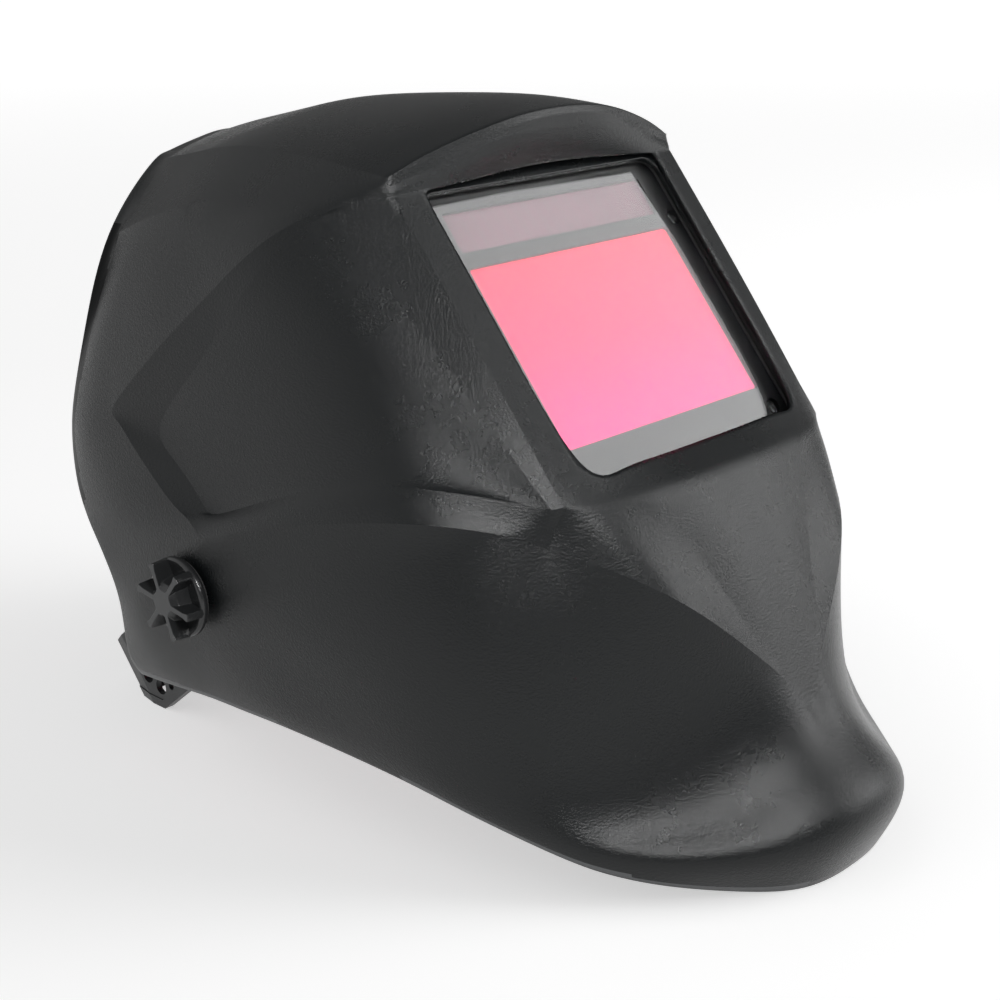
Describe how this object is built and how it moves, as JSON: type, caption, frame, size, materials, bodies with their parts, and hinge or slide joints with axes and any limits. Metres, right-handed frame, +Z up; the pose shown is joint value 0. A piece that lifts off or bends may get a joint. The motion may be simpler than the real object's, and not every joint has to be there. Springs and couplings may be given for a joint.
{
  "type": "welding helmet",
  "caption": "Auto-darkening welding helmet: faceted shell with a framed filter window, on adjustable headgear with tension knobs, crown straps and a rear ratchet.",
  "frame": {"origin": "middle of the bounding box, at bench level, with the helmet tipped back on its chin rim and nape band", "axes": "-Y the way the window faces, X from the wearer's right to left, +Z up from the bench"},
  "size_m": [0.246, 0.337, 0.2295],
  "materials": {
    "shell_nylon": "satin black nylon with a fine pebble grain",
    "gasket_rubber": "dull black rubber",
    "clear_lens": "clear polycarbonate sheet",
    "case_plastic": "fine-textured black plastic",
    "filter_glass": "pink-red interference coating under polished glass",
    "solar_glass": "dark mauve solar film under glass",
    "sensor_lens": "clear sensor domes",
    "board": "green circuit board",
    "grey_plastic": "satin grey plastic",
    "button_plastic": "satin red plastic",
    "pale_plastic": "natural nylon",
    "knob_plastic": "glossy black with a matte face",
    "headgear_plastic": "satin black flexible plastic",
    "pad_fabric": "black brushed knit over foam",
    "steel": "plated steel",
    "brass": "turned brass"
  },
  "bodies": {
    "shell": {"shell": "shell_nylon", "stop_pins": "shell_nylon", "window_gasket": "gasket_rubber", "outer_cover_lens": "clear_lens", "adf_front_case": "case_plastic", "lcd_panel": "filter_glass", "solar_cell": "solar_glass", "arc_sensors": "sensor_lens", "circuit_board": "board", "adf_back_case": "case_plastic", "inner_cover_lens": "clear_lens", "retainer_frame": "headgear_plastic", "case_screws": "steel"},
    "latch_left": {"retainer_latch_left": "grey_plastic"},
    "latch_right": {"retainer_latch_right": "grey_plastic"},
    "shade_knob": {"shade_knob": "grey_plastic"},
    "sensitivity_knob": {"sensitivity_knob": "grey_plastic"},
    "delay_knob": {"delay_knob": "grey_plastic"},
    "test_button": {"test_button": "button_plastic"},
    "drawer_left": {"battery_drawer_left": "grey_plastic", "coin_cell_left": "steel"},
    "drawer_right": {"battery_drawer_right": "grey_plastic", "coin_cell_right": "steel"},
    "pivot_carriage": {"pivot_block_left": "headgear_plastic", "pivot_block_right": "headgear_plastic", "pivot_bolt_left": "steel", "pivot_bolt_right": "steel", "stop_plate_left": "grey_plastic", "stop_plate_right": "grey_plastic", "inner_washer_left": "pale_plastic", "inner_washer_right": "pale_plastic", "outer_washer_left": "gasket_rubber", "outer_washer_right": "gasket_rubber"},
    "tension_knob_left": {"pivot_knob_left": "knob_plastic", "knob_insert_left": "brass"},
    "tension_knob_right": {"pivot_knob_right": "knob_plastic", "knob_insert_right": "brass"},
    "headband": {"side_rail_left": "headgear_plastic", "side_rail_right": "headgear_plastic", "headband": "headgear_plastic", "sweatband": "pad_fabric", "crown_strap_left": "headgear_plastic", "crown_strap_right": "headgear_plastic", "crown_pegs": "headgear_plastic", "rail_rivets": "steel", "rack_strap_left": "headgear_plastic", "rack_strap_right": "headgear_plastic"},
    "nape_unit": {"nape_band": "headgear_plastic", "nape_pad": "pad_fabric", "ratchet_housing": "headgear_plastic", "ratchet_cover": "headgear_plastic", "ratchet_screws": "steel"},
    "ratchet": {"ratchet_pinion": "grey_plastic", "ratchet_knob": "knob_plastic"}
  },
  "joints": [
    {"name": "tilt", "type": "hinge", "parent": "shell", "child": "pivot_carriage", "pos_m": [0, 0.0305, 0.0741], "axis": [1, 0, 0], "range_deg": [0, 65]},
    {"name": "fore_aft", "type": "slide", "parent": "pivot_carriage", "child": "headband", "axis": [0, -0.7705, 0.6374], "range_m": [0, 0.015]},
    {"name": "nape_slide", "type": "slide", "parent": "headband", "child": "nape_unit", "axis": [0, -0.7705, 0.6374], "range_m": [0, 0.015], "deforming": ["rack_strap_left", "rack_strap_right"]},
    {"name": "ratchet_turn", "type": "hinge", "parent": "nape_unit", "child": "ratchet", "pos_m": [0, 0.14303, 0.02124], "axis": [0, 0.9677, -0.2521], "range_deg": [0, 160]},
    {"name": "tension_left_turn", "type": "hinge", "parent": "pivot_carriage", "child": "tension_knob_left", "pos_m": [0.115, 0.0305, 0.0741], "axis": [1, 0, 0], "range_deg": [-180, 180]},
    {"name": "tension_right_turn", "type": "hinge", "parent": "pivot_carriage", "child": "tension_knob_right", "pos_m": [-0.115, 0.0305, 0.0741], "axis": [1, 0, 0], "range_deg": [-180, 180]},
    {"name": "shade_turn", "type": "hinge", "parent": "shell", "child": "shade_knob", "pos_m": [-0.028, -0.01117, 0.18061], "axis": [0, -0.7705, 0.6374], "range_deg": [-135, 135]},
    {"name": "sensitivity_turn", "type": "hinge", "parent": "shell", "child": "sensitivity_knob", "pos_m": [0.002, -0.01117, 0.18061], "axis": [0, -0.7705, 0.6374], "range_deg": [-135, 135]},
    {"name": "delay_turn", "type": "hinge", "parent": "shell", "child": "delay_knob", "pos_m": [0.026, -0.01117, 0.18061], "axis": [0, -0.7705, 0.6374], "range_deg": [-135, 135]},
    {"name": "test_press", "type": "slide", "parent": "shell", "child": "test_button", "axis": [0, -0.7705, 0.6374], "range_m": [0, 0.0012], "stiffness_N_per_m": 400, "springref_m": -0.0006},
    {"name": "drawer_left_slide", "type": "slide", "parent": "shell", "child": "drawer_left", "axis": [1, 0, 0], "range_m": [0, 0.015]},
    {"name": "drawer_right_slide", "type": "slide", "parent": "shell", "child": "drawer_right", "axis": [-1, 0, 0], "range_m": [0, 0.015]},
    {"name": "latch_left_slide", "type": "slide", "parent": "shell", "child": "latch_left", "axis": [-1, 0, 0], "range_m": [0, 0.0065]},
    {"name": "latch_right_slide", "type": "slide", "parent": "shell", "child": "latch_right", "axis": [1, 0, 0], "range_m": [0, 0.0065]}
  ],
  "couplings": [
    {"joint": "ratchet_turn", "follows": "nape_slide", "rad_per_m": 178.57}
  ]
}
